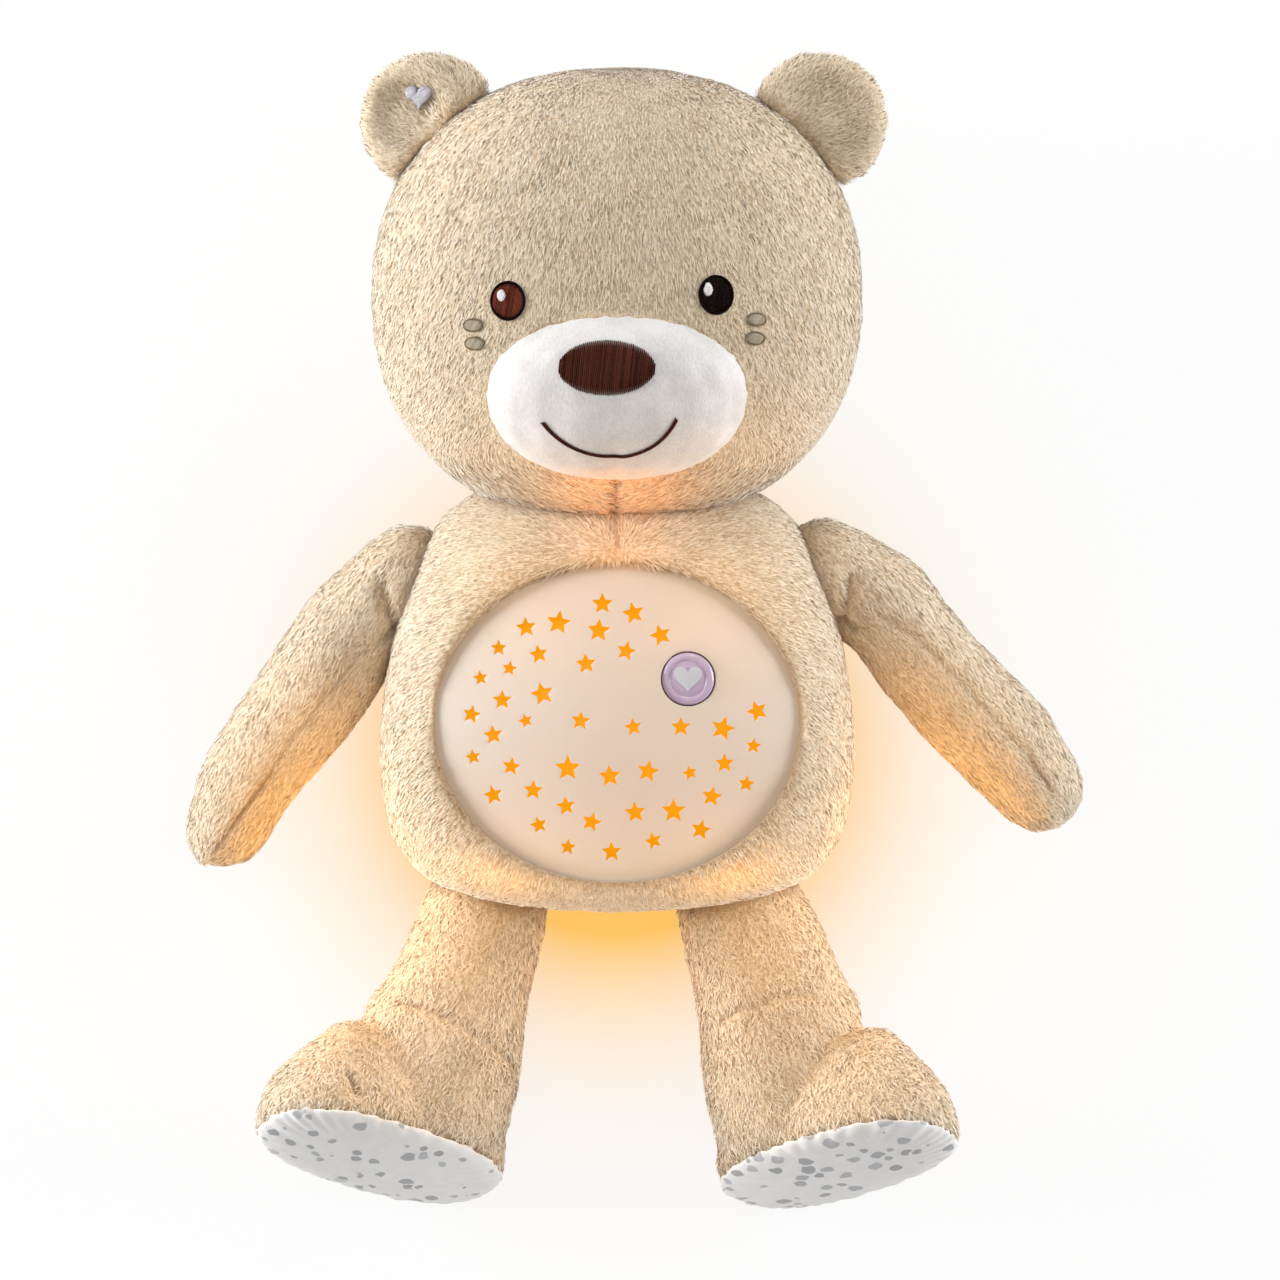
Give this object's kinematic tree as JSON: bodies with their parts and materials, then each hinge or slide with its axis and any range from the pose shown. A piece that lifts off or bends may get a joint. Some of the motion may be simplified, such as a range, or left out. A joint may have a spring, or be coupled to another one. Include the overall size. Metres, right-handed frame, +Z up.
{
  "type": "plush night light",
  "caption": "Plush teddy bear lying on its back, with a domed star lamp plate and a round push button in its belly.",
  "frame": {"origin": "on the flat of the back that the bear lies on, on its midline, above the back flap", "axes": "+Z up out of the belly, +Y to the head, +X to the right seen from above"},
  "size_m": [0.2954, 0.3801, 0.129],
  "materials": {
    "plush": "short soft pile",
    "white_plush": "short soft pile",
    "dark_thread": "satin stitch",
    "grey_thread": "satin stitch",
    "pale_thread": "satin stitch",
    "sole_cotton": "printed cotton",
    "plate": "matte, translucent",
    "amber_diffuser": "matte, translucent",
    "lamp_lens": "clear",
    "white_plastic": "matte",
    "steel": "plated",
    "cell_jacket": "glossy sleeve",
    "black_plastic": "matte",
    "lilac_plastic": "translucent",
    "pale_plastic": "satin",
    "board": "lacquered",
    "lead": "satin",
    "tape": "hook and loop"
  },
  "bodies": {
    "bear": {"torso": "plush", "head": "plush", "muzzle": "white_plush", "nose": "dark_thread", "mouth": "dark_thread", "eye_left": "dark_thread", "eye_right": "dark_thread", "cheek_mark_left_upper": "grey_thread", "cheek_mark_left_lower": "grey_thread", "cheek_mark_right_upper": "grey_thread", "cheek_mark_right_lower": "grey_thread", "ear_left": "plush", "ear_right": "plush", "ear_motif": "pale_thread", "star_plate": "plate", "diffuser": "amber_diffuser", "rear_housing": "white_plastic", "housing_screw_1": "steel", "housing_screw_2": "steel", "housing_screw_3": "steel", "housing_screw_4": "steel", "battery_1": "cell_jacket", "battery_2": "cell_jacket", "battery_3": "cell_jacket", "contact_plate_1": "steel", "contact_plate_2": "steel", "contact_plate_3": "steel", "contact_spring_1": "steel", "contact_spring_2": "steel", "contact_spring_3": "steel", "slide_switch": "black_plastic", "button_spring": "steel", "button_board": "board", "push_switch": "black_plastic", "main_board": "board", "light_1": "lamp_lens", "light_2": "lamp_lens", "light_3": "lamp_lens", "speaker": "black_plastic", "speaker_lead": "lead", "battery_lead": "lead", "button_lead": "lead", "loop_strip": "tape"},
    "arm_left": {"arm_left": "plush"},
    "arm_right": {"arm_right": "plush"},
    "leg_left": {"leg_left": "plush", "sole_left": "sole_cotton"},
    "leg_right": {"leg_right": "plush", "sole_right": "sole_cotton"},
    "heart_button": {"heart_button": "lilac_plastic", "button_heart": "pale_plastic"},
    "back_flap": {"back_flap": "plush", "hook_strip": "tape"},
    "battery_door": {"battery_door": "white_plastic", "door_screw": "steel"},
    "mode_knob": {"mode_knob": "white_plastic"}
  },
  "joints": [
    {"name": "arm_left_swing", "type": "hinge", "parent": "bear", "child": "arm_left", "pos_m": [-0.06794, 0.00296, 0.04005], "axis": [0, 0, -1], "range_deg": [0, 55]},
    {"name": "arm_right_swing", "type": "hinge", "parent": "bear", "child": "arm_right", "pos_m": [0.06794, 0.00498, 0.04005], "axis": [0, 0, 1], "range_deg": [0, 55]},
    {"name": "leg_left_lift", "type": "hinge", "parent": "bear", "child": "leg_left", "pos_m": [-0.04323, -0.10732, 0.0217], "axis": [-1, 0, 0], "range_deg": [0, 54]},
    {"name": "leg_right_lift", "type": "hinge", "parent": "bear", "child": "leg_right", "pos_m": [0.04014, -0.10732, 0.0217], "axis": [-1, 0, 0], "range_deg": [0, 54]},
    {"name": "heart_button_press", "type": "slide", "parent": "bear", "child": "heart_button", "axis": [0, 0, -1], "range_m": [0, 0.0012], "stiffness_N_per_m": 800, "springref_m": -0.0005, "deforming": ["button_spring"]},
    {"name": "mode_knob_slide", "type": "slide", "parent": "bear", "child": "mode_knob", "axis": [1, 0, 0], "range_m": [-0.0035, 0.0035]},
    {"name": "back_flap_open", "type": "hinge", "parent": "bear", "child": "back_flap", "pos_m": [0, -0.0107, 0], "axis": [1, 0, 0], "range_deg": [0, 120]},
    {"name": "battery_door_lift", "type": "slide", "parent": "bear", "child": "battery_door", "axis": [0, 0, -1], "range_m": [0, 0.0252]}
  ],
  "couplings": [
    {"joint": "battery_door_lift", "follows": "back_flap_open", "m_per_rad": 0.012}
  ]
}
